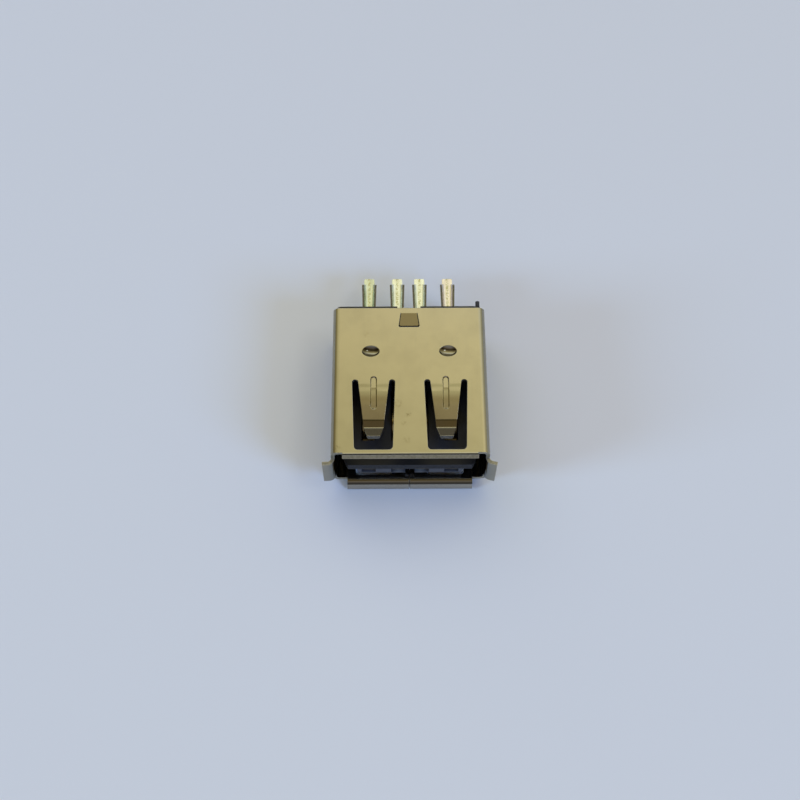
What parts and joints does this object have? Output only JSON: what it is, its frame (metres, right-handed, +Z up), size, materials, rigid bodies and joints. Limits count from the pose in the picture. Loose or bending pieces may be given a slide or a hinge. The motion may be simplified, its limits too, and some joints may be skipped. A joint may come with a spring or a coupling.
{
  "type": "usb-a socket",
  "caption": "Flat USB-A socket: a folded plated shell with spring fingers and a flared mouth, a moulded insulator with a tongue, and stamped contacts that end in solder cups.",
  "frame": {"origin": "middle of the mouth, in the plane of the tube's front edge", "axes": "+Y into the socket along the plug's travel, +Z up on the contact side of the tongue, +X to the right for someone who looks into the mouth"},
  "size_m": [0.0145, 0.0191, 0.0068],
  "materials": {
    "plated_sheet": "bright warm nickel plate",
    "black_insulator": "moulded satin black",
    "gold_flash": "pale gold flash"
  },
  "bodies": {
    "root": {"shell": "plated_sheet", "housing": "black_insulator", "contact_1": "gold_flash", "contact_2": "gold_flash", "contact_3": "gold_flash", "contact_4": "gold_flash"}
  },
  "joints": []
}
